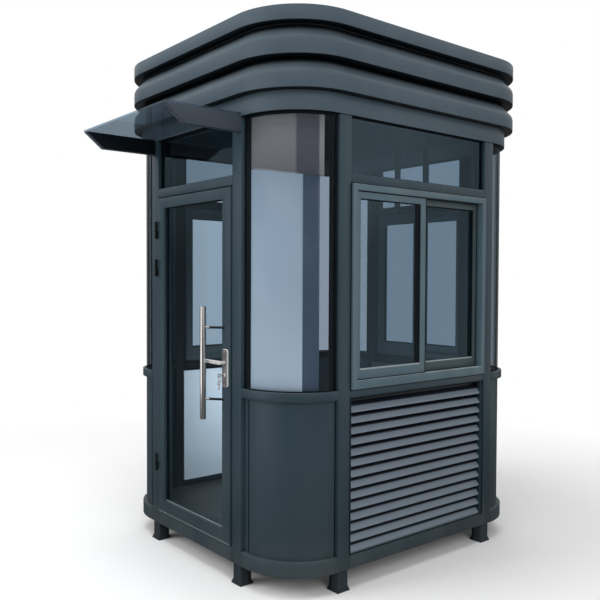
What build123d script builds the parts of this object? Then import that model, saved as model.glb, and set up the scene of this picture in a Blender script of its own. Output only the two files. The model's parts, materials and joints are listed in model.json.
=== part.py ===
from build123d import *
import os

os.makedirs("parts", exist_ok=True)

# Security guard booth: a steel frame with rounded corners on eight feet, a glazed
# door in the front wall (-Y), a sliding window over a louvre in each other wall,
# a glass canopy over the door, and a roof fascia of three bands on a ring beam.
# Millimetres, +Z up, origin on the ground at the middle of the overall plan, which
# the canopy makes longer at the front.

# Plan of the frame
cabin_width = 1650.0  # along X, over the frame's outer faces
cabin_depth = 1890.0  # along Y, over the frame's outer faces
corner_radius = 330.0  # of the frame's outer face at each corner
post_size = 80.0  # square posts, and the depth of the rails between them
front_opening = 760.0  # between the two front posts, and the two rear ones
side_opening = 1070.0  # between the two posts of a side wall

# Heights, from the ground up
foot_height = 105.0
base_height = 75.0
lower_wall_height = 780.0
sill_height = 45.0
window_height = 1025.0
transom_height = 50.0
fanlight_height = 282.0
beam_height = 96.0
band_height = 157.0  # of the lower and the middle fascia band
top_band_height = 73.0

# Feet
foot_size = 66.0
foot_spread = 84.0  # square, where the flared foot meets the ground
foot_flare_height = 25.0

# Panels, glass and floor
pane_inset = 22.0  # of panels and fixed glass behind the frame's outer face
glass_thickness = 8.0
corner_panel_thickness = 30.0
floor_thickness = 20.0
board_thickness = 10.0  # lining boards on the inner faces of the posts
board_lap = 25.0  # of a board over each post
board_floor_gap = 40.0
board_sill_gap = 12.0
bar_size = 30.0  # upright bars inside the rear fanlight
left_bar_centre = 150.0  # of each bar from the cabin's middle line
right_bar_centre = 110.0

# Sliding windows
frame_face = 32.0
frame_bottom_face = 45.0
frame_depth = 70.0
frame_proud = 14.0
sash_setback = 12.0  # of the outer sash behind the frame's face
sash_thickness = 26.0
sash_gap = 4.0  # between the outer and the inner sash
sash_stile = 30.0
meeting_stile = 42.0
sash_top_rail = 38.0
sash_bottom_rail = 50.0
sash_glass = 6.0

# Louvres
louvre_blades = 14
louvre_top_gap = 18.0  # above the top blade, closed by a strip behind it
louvre_setback = 10.0  # of the blades' front lip behind the frame's outer face
louvre_depth = 36.0
blade_lip = 9.0
blade_upstand = 8.0
blade_lap = 4.0  # of a blade's upstand behind the lip above it
blade_sheet = 3.0
channel_width = 12.0  # of the upright channels that hold the blades' ends
channel_lap = 2.0  # of a channel past the blades, in front of them and behind

# Ring beam and fascia
beam_depth = 83.0
beam_proud = 3.0
fascia_overhang = 50.0
fascia_back = 40.0  # reach of the two deep bands behind the frame's outer face
band_face = 80.0  # upright part of a band, below its shoulder
shoulder_setback = 20.0  # of the shoulder's top behind the frame's outer face
shoulder_round = 45.0  # radius of the fold between the face and the shoulder
top_band_back = 10.0
deck_thickness = 25.0

# Canopy over the door
canopy_reach = 425.0  # from the frame's outer face
canopy_glass = 10.0
bracket_height = 84.0
bracket_rake = 104.0  # by which the bracket's lower edge is the shorter
bracket_thickness = 40.0
bracket_top_drop = 86.0  # of the glass's underside below the ring beam's top

# Door
door_gap = 6.0
leaf_thickness = 50.0
leaf_proud = 8.0
leaf_stile = 72.0
leaf_top_rail = 58.0
leaf_bottom_rail = 70.0
leaf_glass_setback = 20.0
leaf_edge = 3.0
stop_width = 15.0
stop_thickness = 15.0
stop_clearance = 5.0

# Hinges
lower_hinge_level = 475.0
middle_hinge_level = 1620.0
upper_hinge_level = 1840.0
hinge_length = 100.0
hinge_radius = 7.0
hinge_stand = 20.0  # of the pin in front of the frame's outer face
hinge_plate = 26.0
hinge_plate_thickness = 3.0
pin_radius = 4.0
pin_clearance = 0.3
knuckle_gap = 1.0

# Handles and lock
pull_length = 587.0
pull_radius = 16.0
pull_bottom = 826.0
pull_offset = 77.0  # from the stile's inner edge to the tube's axis, over the glass
pull_stand = 67.0  # of the tube's axis in front of the leaf
standoff_radius = 6.5
standoff_inset = 108.0  # from each end of the tube
standoff_landing = 15.0  # of the standoff's foot from the stile's inner edge
pull_end_chamfer = 3.0
lock_width = 50.0
lock_height = 195.0
lock_thickness = 9.0
lock_bottom = 1001.0
lock_corner = 14.0
lock_chamfer = 2.5
cylinder_radius = 8.5
cylinder_drop = 66.0  # of the lock cylinder below the lever's spindle
cylinder_stand = 6.0
lever_level = 1127.0
lever_length = 145.0
lever_width = 20.0
lever_thickness = 13.0
lever_chamfer = 3.0
lever_stand = 22.0  # of the lever's back face in front of the lock plate
lever_neck_radius = 9.0
lever_play = 0.4

# Levels and places that follow
base_top = foot_height + base_height
sill_bottom = base_top + lower_wall_height
sill_top = sill_bottom + sill_height
transom_bottom = sill_top + window_height
transom_top = transom_bottom + transom_height
beam_bottom = transom_top + fanlight_height
beam_top = beam_bottom + beam_height
lower_band_top = beam_top + band_height
middle_band_top = lower_band_top + band_height
roof_top = middle_band_top + top_band_height
half_width = cabin_width / 2
half_depth = cabin_depth / 2
corner_x = half_width - corner_radius
corner_y = half_depth - corner_radius
cabin_y = (canopy_reach - fascia_overhang) / 2  # the cabin's centre, behind the origin

post_x = (front_opening + post_size) / 2  # of the front and rear posts
post_y = (side_opening + post_size) / 2  # of the side walls' posts
post_line_x = half_width - post_size / 2  # the row of a side wall's posts
post_line_y = half_depth - post_size / 2
post_places = [(x, y) for x in (-post_x, post_x) for y in (-post_line_y, post_line_y)]
post_places += [(x, y) for x in (-post_line_x, post_line_x) for y in (-post_y, post_y)]

ground = Plane(origin=(0, cabin_y, 0))
middle = Plane(origin=(0, cabin_y, 0), x_dir=(1, 0, 0), z_dir=(0, -1, 0))

# Wall planes lie in the frame's outer faces: local x runs along the wall, local y
# is up and the normal points out.
front_wall = Plane(origin=(0, cabin_y - half_depth, 0), x_dir=(1, 0, 0), z_dir=(0, -1, 0))
right_wall = Plane(origin=(half_width, cabin_y, 0), x_dir=(0, 1, 0), z_dir=(1, 0, 0))
rear_wall = Plane(origin=(0, cabin_y + half_depth, 0), x_dir=(-1, 0, 0), z_dir=(0, 1, 0))
left_wall = Plane(origin=(-half_width, cabin_y, 0), x_dir=(0, -1, 0), z_dir=(-1, 0, 0))
window_walls = (
    ("right", right_wall, side_opening),
    ("rear", rear_wall, front_opening),
    ("left", left_wall, side_opening),
)


def wall_plan(inset, depth, with_front=True):
    """Plan of a straight strip between the two posts of each wall."""
    reach_x = half_width - inset - depth / 2
    reach_y = half_depth - inset - depth / 2
    with BuildSketch() as plan:
        with Locations((reach_x, 0), (-reach_x, 0)):
            Rectangle(depth, side_opening)
        with Locations((0, reach_y)):
            Rectangle(front_opening, depth)
        if with_front:
            with Locations((0, -reach_y)):
                Rectangle(front_opening, depth)
    return plan.sketch


def corner_plan(inset, depth):
    """Plan of the four curved strips that join the walls, from post to post."""
    back = inset + depth
    with BuildSketch() as plan:
        RectangleRounded(cabin_width - 2 * inset, cabin_depth - 2 * inset, corner_radius - inset)
        RectangleRounded(
            cabin_width - 2 * back, cabin_depth - 2 * back, corner_radius - back, mode=Mode.SUBTRACT
        )
        Rectangle(front_opening + 2 * post_size, cabin_depth, mode=Mode.SUBTRACT)
        Rectangle(cabin_width, side_opening + 2 * post_size, mode=Mode.SUBTRACT)
    return plan.sketch


def box_section(back, front, bottom, top):
    """Section of a closed box: x is the distance outside the frame's outer face."""
    with BuildSketch() as section:
        with Locations(((back + front) / 2, (bottom + top) / 2)):
            Rectangle(front - back, top - bottom)
    return section.sketch


def shouldered_section(bottom, top):
    """Section of a fascia band: upright face, then a fold into a shoulder that leans in."""
    fold = (fascia_overhang, bottom + band_face)
    with BuildSketch() as section:
        with BuildLine():
            Polyline(
                (-fascia_back, bottom),
                (fascia_overhang, bottom),
                fold,
                (-shoulder_setback, top),
                (-fascia_back, top),
                close=True,
            )
        make_face()
        fillet(section.vertices().sort_by_distance(fold)[0], radius=shoulder_round)
    return section.sketch


# Feet, posts and rails

with BuildPart() as feet:
    with BuildSketch(ground):
        with Locations(*post_places):
            Rectangle(foot_spread, foot_spread)
    with BuildSketch(ground.offset(foot_flare_height)) as foot_section:
        with Locations(*post_places):
            Rectangle(foot_size, foot_size)
    for wide, narrow in zip(feet.pending_faces[:8], feet.pending_faces[8:]):
        loft(sections=[wide, narrow])
    feet.pending_faces.clear()
    extrude(foot_section.sketch, amount=foot_height - foot_flare_height)
feet.part.label = "feet"
export_step(feet.part, "parts/feet.step")

with BuildPart() as posts:
    with BuildSketch(ground.offset(foot_height)):
        with Locations(*post_places):
            Rectangle(post_size, post_size)
    extrude(amount=beam_bottom - foot_height)
posts.part.label = "posts"
export_step(posts.part, "parts/posts.step")

with BuildPart() as base_rails:
    with BuildSketch(ground.offset(foot_height)):
        add(wall_plan(0, post_size))
    extrude(amount=base_height)
base_rails.part.label = "base_rails"
export_step(base_rails.part, "parts/base_rails.step")

with BuildPart() as base_corners:
    with BuildSketch(ground.offset(foot_height)):
        add(corner_plan(0, post_size))
    extrude(amount=base_height)
base_corners.part.label = "base_corners"
export_step(base_corners.part, "parts/base_corners.step")

with BuildPart() as sill_rails:
    with BuildSketch(ground.offset(sill_bottom)):
        add(wall_plan(0, post_size, with_front=False))
    extrude(amount=sill_height)
sill_rails.part.label = "sill_rails"
export_step(sill_rails.part, "parts/sill_rails.step")

with BuildPart() as corner_sills:
    with BuildSketch(ground.offset(sill_bottom)):
        add(corner_plan(0, post_size))
    extrude(amount=sill_height)
corner_sills.part.label = "corner_sills"
export_step(corner_sills.part, "parts/corner_sills.step")

with BuildPart() as transom_rails:
    with BuildSketch(ground.offset(transom_bottom)):
        add(wall_plan(0, post_size))
    extrude(amount=transom_height)
transom_rails.part.label = "transom_rails"
export_step(transom_rails.part, "parts/transom_rails.step")

# Floor, corner panels and fixed glass

with BuildPart() as floor_plate:
    with BuildSketch(ground.offset(base_top - floor_thickness)):
        RectangleRounded(
            cabin_width - 2 * post_size, cabin_depth - 2 * post_size, corner_radius - post_size
        )
    extrude(amount=floor_thickness)
floor_plate.part.label = "floor_plate"
export_step(floor_plate.part, "parts/floor_plate.step")

with BuildPart() as corner_panels:
    with BuildSketch(ground.offset(base_top)):
        add(corner_plan(pane_inset, corner_panel_thickness))
    extrude(amount=lower_wall_height)
corner_panels.part.label = "corner_panels"
export_step(corner_panels.part, "parts/corner_panels.step")

with BuildPart() as corner_glass:
    with BuildSketch(ground.offset(sill_top)):
        add(corner_plan(pane_inset, glass_thickness))
    extrude(amount=beam_bottom - sill_top)
corner_glass.part.label = "corner_glass"
export_step(corner_glass.part, "parts/corner_glass.step")

with BuildPart() as fanlight_glass:
    with BuildSketch(ground.offset(transom_top)):
        add(wall_plan(pane_inset, glass_thickness))
    extrude(amount=fanlight_height)
fanlight_glass.part.label = "fanlight_glass"
export_step(fanlight_glass.part, "parts/fanlight_glass.step")

with BuildPart() as rear_fanlight_bars:
    with BuildSketch(ground.offset(transom_bottom)):
        bar_y = half_depth - post_size - bar_size / 2
        with Locations((-left_bar_centre, bar_y), (right_bar_centre, bar_y)):
            Rectangle(bar_size, bar_size)
    extrude(amount=lower_band_top - transom_bottom)
rear_fanlight_bars.part.label = "rear_fanlight_bars"
export_step(rear_fanlight_bars.part, "parts/rear_fanlight_bars.step")

with BuildPart() as lining_boards:
    board_inset = post_size + board_thickness / 2
    with BuildSketch(ground.offset(base_top + board_floor_gap)):
        with Locations((half_width - board_inset, 0), (board_inset - half_width, 0)):
            Rectangle(board_thickness, side_opening + 2 * board_lap)
        with Locations((0, half_depth - board_inset)):
            Rectangle(front_opening + 2 * board_lap, board_thickness)
    extrude(amount=lower_wall_height - board_floor_gap - board_sill_gap)
lining_boards.part.label = "lining_boards"
export_step(lining_boards.part, "parts/lining_boards.step")

# Sliding windows and louvres, alike in three walls

pane_bottom = sill_top + frame_bottom_face
pane_top = transom_bottom - frame_face
inner_setback = sash_setback + sash_thickness + sash_gap
blade_pitch = (lower_wall_height - louvre_top_gap) / louvre_blades
blade_levels = [base_top + blade_pitch * i for i in range(louvre_blades)]

with BuildSketch() as blade:
    lip_top = blade_lip
    slope_top = blade_pitch + blade_lap - blade_upstand
    blade_back = -louvre_setback - louvre_depth
    with BuildLine():
        blade_line = Polyline(
            (-louvre_setback, 0),
            (-louvre_setback, lip_top),
            (blade_back, slope_top),
            (blade_back, slope_top + blade_upstand),
        )
        offset(blade_line, amount=blade_sheet, kind=Kind.INTERSECTION, side=Side.LEFT)
    make_face()

for wall_name, wall, opening in window_walls:
    sash_span = opening - 2 * frame_face
    sash_width = sash_span / 2 + meeting_stile / 2
    sash_places = ((-1, sash_setback), (1, inner_setback))

    with BuildPart() as window_frame:
        with BuildSketch(wall.offset(frame_proud)):
            with Locations((0, sill_top + window_height / 2)):
                Rectangle(opening, window_height)
            with Locations((0, (pane_bottom + pane_top) / 2)):
                Rectangle(sash_span, pane_top - pane_bottom, mode=Mode.SUBTRACT)
        extrude(amount=-frame_depth)
    window_frame.part.label = f"{wall_name}_window_frame"
    export_step(window_frame.part, f"parts/{wall_name}_window_frame.step")

    with BuildPart() as window_sashes:
        for side, setback in sash_places:
            with BuildSketch(wall.offset(frame_proud - setback)):
                with Locations((side * (sash_span - sash_width) / 2, (pane_bottom + pane_top) / 2)):
                    Rectangle(sash_width, pane_top - pane_bottom)
                glass_left = side * (sash_span / 2 - sash_stile)
                glass_right = side * (sash_span / 2 - sash_width + meeting_stile)
                glass_low = pane_bottom + sash_bottom_rail
                glass_high = pane_top - sash_top_rail
                with Locations(((glass_left + glass_right) / 2, (glass_low + glass_high) / 2)):
                    Rectangle(
                        abs(glass_left - glass_right), glass_high - glass_low, mode=Mode.SUBTRACT
                    )
            extrude(amount=-sash_thickness)
    window_sashes.part.label = f"{wall_name}_window_sashes"
    export_step(window_sashes.part, f"parts/{wall_name}_window_sashes.step")

    with BuildPart() as window_glass:
        for side, setback in sash_places:
            depth = setback + (sash_thickness - sash_glass) / 2
            with BuildSketch(wall.offset(frame_proud - depth)):
                glass_left = side * (sash_span / 2 - sash_stile)
                glass_right = side * (sash_span / 2 - sash_width + meeting_stile)
                with Locations(((glass_left + glass_right) / 2, (glass_low + glass_high) / 2)):
                    Rectangle(abs(glass_left - glass_right), glass_high - glass_low)
            extrude(amount=-sash_glass)
    window_glass.part.label = f"{wall_name}_window_glass"
    export_step(window_glass.part, f"parts/{wall_name}_window_glass.step")

    with BuildPart() as louvre:
        blade_length = opening - channel_width
        blade_end = wall.origin + wall.x_dir * (blade_length / 2)
        with BuildSketch(Plane(origin=blade_end, x_dir=wall.z_dir, z_dir=-wall.x_dir)):
            with Locations(*[(0, level) for level in blade_levels]):
                add(blade.sketch)
        extrude(amount=blade_length)
        with BuildSketch(wall.offset(channel_lap - louvre_setback)):
            channel_x = (opening - channel_width) / 2
            with Locations((channel_x, base_top + lower_wall_height / 2)):
                Rectangle(channel_width, lower_wall_height)
            with Locations((-channel_x, base_top + lower_wall_height / 2)):
                Rectangle(channel_width, lower_wall_height)
        extrude(amount=-louvre_depth - blade_sheet - 2 * channel_lap)
        with BuildSketch(wall.offset(-louvre_setback - louvre_depth)):
            with Locations((0, sill_bottom - louvre_top_gap / 2)):
                Rectangle(opening, louvre_top_gap)
        extrude(amount=-blade_sheet)
    louvre.part.label = f"{wall_name}_louvre"
    export_step(louvre.part, f"parts/{wall_name}_louvre.step")

# Ring beam and fascia: straight lengths between the corner arcs, and the corners

corner_centre = (corner_x, cabin_y + corner_y, 0)
front_run = Plane(origin=(corner_x, cabin_y - half_depth, 0), x_dir=(0, -1, 0), z_dir=(-1, 0, 0))
right_run = Plane(origin=(half_width, cabin_y + corner_y, 0), x_dir=(1, 0, 0), z_dir=(0, -1, 0))
corner_start = Plane(origin=corner_centre, x_dir=(1, 0, 0), z_dir=(0, -1, 0))
roof_sections = (
    ("ring_beam", box_section(beam_proud - beam_depth, beam_proud, beam_bottom, beam_top)),
    ("lower_fascia", shouldered_section(beam_top, lower_band_top)),
    ("middle_fascia", shouldered_section(lower_band_top, middle_band_top)),
    ("top_fascia", box_section(-top_band_back, fascia_overhang, middle_band_top, roof_top)),
)
for section_name, section in roof_sections:
    with BuildPart() as sides:
        with BuildSketch(front_run):
            add(section)
        front_length = extrude(amount=2 * corner_x)
        mirror(front_length, about=middle)
        with BuildSketch(right_run):
            add(section)
        right_length = extrude(amount=2 * corner_y)
        mirror(right_length, about=Plane.YZ)
    sides.part.label = f"{section_name}_sides"
    export_step(sides.part, f"parts/{section_name}_sides.step")

    with BuildPart() as corners:
        with BuildSketch(corner_start):
            with Locations((corner_radius, 0)):
                add(section)
        revolve(axis=Axis(corner_centre, (0, 0, 1)), revolution_arc=90)
        mirror(about=Plane.YZ)
        mirror(about=middle)
    corners.part.label = f"{section_name}_corners"
    export_step(corners.part, f"parts/{section_name}_corners.step")

with BuildPart() as roof_deck:
    with BuildSketch(ground.offset(middle_band_top)):
        RectangleRounded(
            cabin_width - 2 * top_band_back,
            cabin_depth - 2 * top_band_back,
            corner_radius - top_band_back,
        )
    extrude(amount=deck_thickness)
roof_deck.part.label = "roof_deck"
export_step(roof_deck.part, "parts/roof_deck.step")

# Canopy: two raked brackets on the front posts carry a sheet of glass

canopy_level = beam_top - bracket_top_drop
bracket_x = front_opening / 2 + post_size - bracket_thickness
beam_face = half_depth + beam_proud

with BuildPart() as canopy_brackets:
    with BuildSketch(Plane(origin=(bracket_x, cabin_y, 0), x_dir=(0, 1, 0), z_dir=(1, 0, 0))):
        with BuildLine():
            Polyline(
                (-half_depth, canopy_level - bracket_height),
                (-half_depth, beam_bottom),
                (-beam_face, beam_bottom),
                (-beam_face, canopy_level),
                (-half_depth - canopy_reach, canopy_level),
                (-half_depth - canopy_reach + bracket_rake, canopy_level - bracket_height),
                close=True,
            )
        make_face()
    extrude(amount=bracket_thickness)
    mirror(about=Plane.YZ)
canopy_brackets.part.label = "canopy_brackets"
export_step(canopy_brackets.part, "parts/canopy_brackets.step")

with BuildPart() as canopy_glass_sheet:
    glass_reach = canopy_reach - beam_proud
    with BuildSketch(ground.offset(canopy_level)):
        with Locations((0, -beam_face - glass_reach / 2)):
            Rectangle(front_opening + 2 * post_size, glass_reach)
    extrude(amount=canopy_glass)
canopy_glass_sheet.part.label = "canopy_glass"
export_step(canopy_glass_sheet.part, "parts/canopy_glass.step")

# Door leaf, glass and stops

leaf_width = front_opening - 2 * door_gap
leaf_bottom = base_top + door_gap
leaf_top = transom_bottom - door_gap
leaf_face = front_wall.offset(leaf_proud)
light_width = leaf_width - 2 * leaf_stile
light_bottom = leaf_bottom + leaf_bottom_rail
light_top = leaf_top - leaf_top_rail
light_place = (0, (light_bottom + light_top) / 2)

with BuildPart() as door_leaf:
    with BuildSketch(leaf_face):
        with Locations((0, (leaf_bottom + leaf_top) / 2)):
            Rectangle(leaf_width, leaf_top - leaf_bottom)
    extrude(amount=-leaf_thickness)
    chamfer(door_leaf.faces().sort_by(Axis.Y)[0].edges(), length=leaf_edge)
    with BuildSketch(leaf_face):
        with Locations(light_place):
            Rectangle(light_width, light_top - light_bottom)
    extrude(amount=-leaf_thickness, mode=Mode.SUBTRACT)
door_leaf.part.label = "door_leaf"
export_step(door_leaf.part, "parts/door_leaf.step")

with BuildPart() as door_glass:
    with BuildSketch(leaf_face.offset(-leaf_glass_setback)):
        with Locations(light_place):
            Rectangle(light_width, light_top - light_bottom)
    extrude(amount=-glass_thickness)
door_glass.part.label = "door_glass"
export_step(door_glass.part, "parts/door_glass.step")

with BuildPart() as door_stops:
    with BuildSketch(leaf_face.offset(-leaf_thickness - stop_clearance)):
        with Locations((0, (base_top + transom_bottom) / 2)):
            Rectangle(front_opening, transom_bottom - base_top)
        with Locations((0, (base_top + transom_bottom - stop_width) / 2)):
            Rectangle(
                front_opening - 2 * stop_width,
                transom_bottom - base_top - stop_width,
                mode=Mode.SUBTRACT,
            )
    extrude(amount=-stop_thickness)
door_stops.part.label = "door_stops"
export_step(door_stops.part, "parts/door_stops.step")

# Hinges: the lower knuckle and its pin are on the post, the upper one on the leaf

hinge_levels = (lower_hinge_level, middle_hinge_level, upper_hinge_level)
hinge_x = -front_opening / 2
hinge_y = -half_depth - hinge_stand
leaf_face_y = -half_depth - leaf_proud
knuckle_length = (hinge_length - knuckle_gap) / 2

with BuildPart() as post_hinges:
    for level in hinge_levels:
        with BuildSketch(ground.offset(level - hinge_length / 2)):
            with Locations((hinge_x, hinge_y)):
                Circle(hinge_radius)
            with Locations((hinge_x - hinge_radius / 2, hinge_y + hinge_stand / 2)):
                Rectangle(hinge_radius, hinge_stand)
            with Locations((hinge_x - hinge_plate / 2, -half_depth - hinge_plate_thickness / 2)):
                Rectangle(hinge_plate, hinge_plate_thickness)
        extrude(amount=knuckle_length)
        with BuildSketch(ground.offset(level - hinge_length / 2)):
            with Locations((hinge_x, hinge_y)):
                Circle(pin_radius)
        extrude(amount=hinge_length)
post_hinges.part.label = "post_hinges"
export_step(post_hinges.part, "parts/post_hinges.step")

with BuildPart() as leaf_hinges:
    leaf_stand = hinge_stand - leaf_proud
    for level in hinge_levels:
        with BuildSketch(ground.offset(level + knuckle_gap / 2)):
            with Locations((hinge_x, hinge_y)):
                Circle(hinge_radius)
            with Locations((hinge_x + hinge_radius / 2, hinge_y + leaf_stand / 2)):
                Rectangle(hinge_radius, leaf_stand)
            with Locations((hinge_x + hinge_plate / 2, leaf_face_y - hinge_plate_thickness / 2)):
                Rectangle(hinge_plate, hinge_plate_thickness)
            with Locations((hinge_x, hinge_y)):
                Circle(pin_radius + pin_clearance, mode=Mode.SUBTRACT)
        extrude(amount=knuckle_length)
leaf_hinges.part.label = "leaf_hinges"
export_step(leaf_hinges.part, "parts/leaf_hinges.step")

# Pull handle, lock and lever, all on the leaf

stile_edge = light_width / 2
pull_x = stile_edge - pull_offset
pull_y = leaf_face_y - pull_stand

with BuildPart() as pull_handle:
    with BuildSketch(ground.offset(pull_bottom)):
        with Locations((pull_x, pull_y)):
            Circle(pull_radius)
    extrude(amount=pull_length)
    chamfer(pull_handle.edges().filter_by(GeomType.CIRCLE), length=pull_end_chamfer)
    standoff_run = Vector(pull_offset + standoff_landing, pull_stand)
    for level in (pull_bottom + standoff_inset, pull_bottom + pull_length - standoff_inset):
        with BuildSketch(Plane(origin=(pull_x, cabin_y + pull_y, level), z_dir=standoff_run)):
            Circle(standoff_radius)
        extrude(amount=standoff_run.length + 2 * standoff_radius)
    split(bisect_by=leaf_face, keep=Keep.TOP)
pull_handle.part.label = "pull_handle"
export_step(pull_handle.part, "parts/pull_handle.step")

lock_x = stile_edge + leaf_stile / 2
lock_face = leaf_face.offset(lock_thickness)

with BuildPart() as lock_plate:
    with BuildSketch(leaf_face):
        with Locations((lock_x, lock_bottom + lock_height / 2)):
            RectangleRounded(lock_width, lock_height, lock_corner)
    extrude(amount=lock_thickness)
    chamfer(lock_plate.faces().sort_by(Axis.Y)[0].edges(), length=lock_chamfer)
    with BuildSketch(lock_face):
        with Locations((lock_x, lever_level - cylinder_drop)):
            Circle(cylinder_radius)
    extrude(amount=cylinder_stand)
lock_plate.part.label = "lock_plate"
export_step(lock_plate.part, "parts/lock_plate.step")

with BuildPart() as lever_handle:
    with BuildSketch(lock_face.offset(lever_stand)):
        with Locations((lock_x - (lever_length - lever_width / 2) / 2, lever_level)):
            SlotOverall(lever_length + lever_width / 2, lever_width)
    extrude(amount=lever_thickness)
    chamfer(lever_handle.edges(), length=lever_chamfer)
    with BuildSketch(lock_face.offset(lever_play)):
        with Locations((lock_x, lever_level)):
            Circle(lever_neck_radius)
    extrude(amount=lever_stand)
lever_handle.part.label = "lever_handle"
export_step(lever_handle.part, "parts/lever_handle.step")
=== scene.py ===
import json
import math
import bmesh
import bpy
from mathutils import Matrix, Vector


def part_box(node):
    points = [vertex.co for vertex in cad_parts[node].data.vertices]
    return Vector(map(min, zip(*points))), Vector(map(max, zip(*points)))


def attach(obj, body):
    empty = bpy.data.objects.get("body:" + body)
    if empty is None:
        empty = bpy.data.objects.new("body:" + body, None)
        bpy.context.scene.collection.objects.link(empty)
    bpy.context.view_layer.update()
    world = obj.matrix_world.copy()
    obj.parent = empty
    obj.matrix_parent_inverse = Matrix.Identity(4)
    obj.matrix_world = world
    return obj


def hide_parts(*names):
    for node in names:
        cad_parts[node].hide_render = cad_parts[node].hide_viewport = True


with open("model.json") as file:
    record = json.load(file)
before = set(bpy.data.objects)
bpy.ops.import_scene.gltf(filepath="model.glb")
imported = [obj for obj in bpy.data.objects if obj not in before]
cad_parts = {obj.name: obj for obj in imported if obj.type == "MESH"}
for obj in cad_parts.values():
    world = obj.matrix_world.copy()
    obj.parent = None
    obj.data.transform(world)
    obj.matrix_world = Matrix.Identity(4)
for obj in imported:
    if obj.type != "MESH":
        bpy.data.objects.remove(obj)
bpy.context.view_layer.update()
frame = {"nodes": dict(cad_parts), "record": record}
print("frame loaded:", len(frame["nodes"]), "nodes")

# Shader maths: a wrapped socket adds its own Math nodes


class Value:
    def __init__(self, finish, socket):
        self.finish = finish
        self.socket = socket

    def maths(self, operation, left, right):
        return self.finish.maths(operation, left, right)

    def __add__(self, other):
        return self.maths("ADD", self, other)

    def __sub__(self, other):
        return self.maths("SUBTRACT", self, other)

    def __rsub__(self, other):
        return self.maths("SUBTRACT", other, self)

    def __mul__(self, other):
        return self.maths("MULTIPLY", self, other)

    def __pow__(self, other):
        return self.maths("POWER", self, other)

    __radd__ = __add__
    __rmul__ = __mul__


class Finish:
    def __init__(self, name, world=False):
        self.owner = (bpy.data.worlds if world else bpy.data.materials).new(name)
        self.owner.use_nodes = True
        self.tree = self.owner.node_tree
        self.tree.nodes.clear()
        kind = "ShaderNodeOutputWorld" if world else "ShaderNodeOutputMaterial"
        self.surface = self.tree.nodes.new(kind).inputs["Surface"]

    def add(self, kind, settings=None, values=None, output=0):
        node = self.tree.nodes.new(kind)
        for name, setting in (settings or {}).items():
            if name == "stops":
                ramp = node.color_ramp.elements
                while len(ramp) < len(setting):
                    ramp.new(1.0)
                for element, (place, colour) in zip(ramp, setting):
                    element.position = place
                    element.color = colour
            else:
                setattr(node, name, setting)
        pairs = values.items() if isinstance(values, dict) else enumerate(values or [])
        for name, value in pairs:
            if isinstance(value, Value):
                self.tree.links.new(value.socket, node.inputs[name])
            else:
                node.inputs[name].default_value = value
        return Value(self, node.outputs[output])

    def maths(self, operation, left, right):
        return self.add("ShaderNodeMath", {"operation": operation}, [left, right])

    def show(self, shader):
        self.tree.links.new(shader.socket, self.surface)
        return self.owner

    def place(self, scale=(1, 1, 1)):
        spot = self.add("ShaderNodeTexCoord", output="Object")
        return self.add("ShaderNodeMapping", values={"Vector": spot, "Scale": scale})

    def axis(self, letter, vector=None):
        return self.add("ShaderNodeSeparateXYZ", values=[vector or self.place()], output=letter)

    def vectorMaths(self, operation, vectors, output=0):
        return self.add("ShaderNodeVectorMath", {"operation": operation}, vectors, output)

    def noise(self, scale, detail=2, stretch=(1, 1, 1), roughness=0.5):
        return self.add("ShaderNodeTexNoise", values={
            "Vector": self.place(stretch), "Scale": scale, "Detail": detail, "Roughness": roughness})

    def between(self, value, low, high, fromLow=0.0, fromHigh=1.0):
        return self.add("ShaderNodeMapRange", values=[value, fromLow, fromHigh, low, high])

    def blend(self, factor, first, second):
        return self.add("ShaderNodeMix", {"data_type": "RGBA"},
                        {"Factor": factor, 6: first, 7: second}, output=2)

    def bump(self, height, strength, distance):
        return self.add("ShaderNodeBump", values={
            "Strength": strength, "Distance": distance, "Height": height})

    def principled(self, **sockets):
        named = {name.replace("_", " "): value for name, value in sockets.items()}
        return self.add("ShaderNodeBsdfPrincipled", values=named)


def shade(red, green, blue):
    return (red, green, blue, 1)


# Where the cabin stands, read from the frame
floorLow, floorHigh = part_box("floor_plate")
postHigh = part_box("posts")[1]
cabinY = (floorLow.y + floorHigh.y) / 2
halfWidth = postHigh.x
halfDepth = postHigh.y - cabinY
cornerRadius = 0.33
coreX = halfWidth - cornerRadius
coreY = halfDepth - cornerRadius
aboveRoof = 9  # no height reaches it, so height never counts in a wall distance
noiseSpan = (0.3, 0.7)  # most of a noise lies between these


def offMiddle(finish):  # distance from the cabin's middle, axis by axis
    middle = finish.vectorMaths("SUBTRACT", [finish.place(), (0, cabinY, 0)])
    return finish.vectorMaths("ABSOLUTE", [middle])


def wallDistance(finish):  # from the core that the corners curve round
    past = finish.vectorMaths("SUBTRACT", [offMiddle(finish), (coreX, coreY, aboveRoof)])
    held = finish.vectorMaths("MAXIMUM", [past, (0, 0, 0)])
    return finish.vectorMaths("LENGTH", [held], output=1)


framePaint = {
    "dark": shade(0.018, 0.035, 0.046), "light": shade(0.027, 0.046, 0.059), "cloudSize": 1.7,
    "streakSize": 7, "streakStretch": (1, 1, 0.12), "streaks": 0.05, "streakSpan": (0.45, 0.75),
    "dust": shade(0.13, 0.15, 0.155), "dustAndHighlightCover": 0.36, "dustUp": (0.35, 0.95), "dustLeast": 0.35,
    # low: painted shade, darker towards the bottom of the frame
    "dustRough": 0.25, "low": shade(0.012, 0.020, 0.028), "lowShare": 0.6, "lowRise": (0.12, 0.75),
    "splash": 0.22, "splashRise": (0.08, 0.30), "splashLeast": 0.4, "splashSpan": (0.35, 0.65),
    "grainSize": 900, "grain": 0.25, "grainHeight": 0.0006,
    "roughness": 0.38, "smoother": 0.05, "rougher": 0.06, "gloss": 0.28,
    # painted shade: the frame's surfaces well behind its outer face, inside the cabin, take a near-black
    # tone
    "lining": shade(0.003, 0.005, 0.007), "liningFrom": 0.052, "liningEdge": 0.005,
    "paintEdge": 0.0005, "innerTurn": (-0.15, -0.05), "underTurn": (-0.75, -0.3),
}
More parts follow.
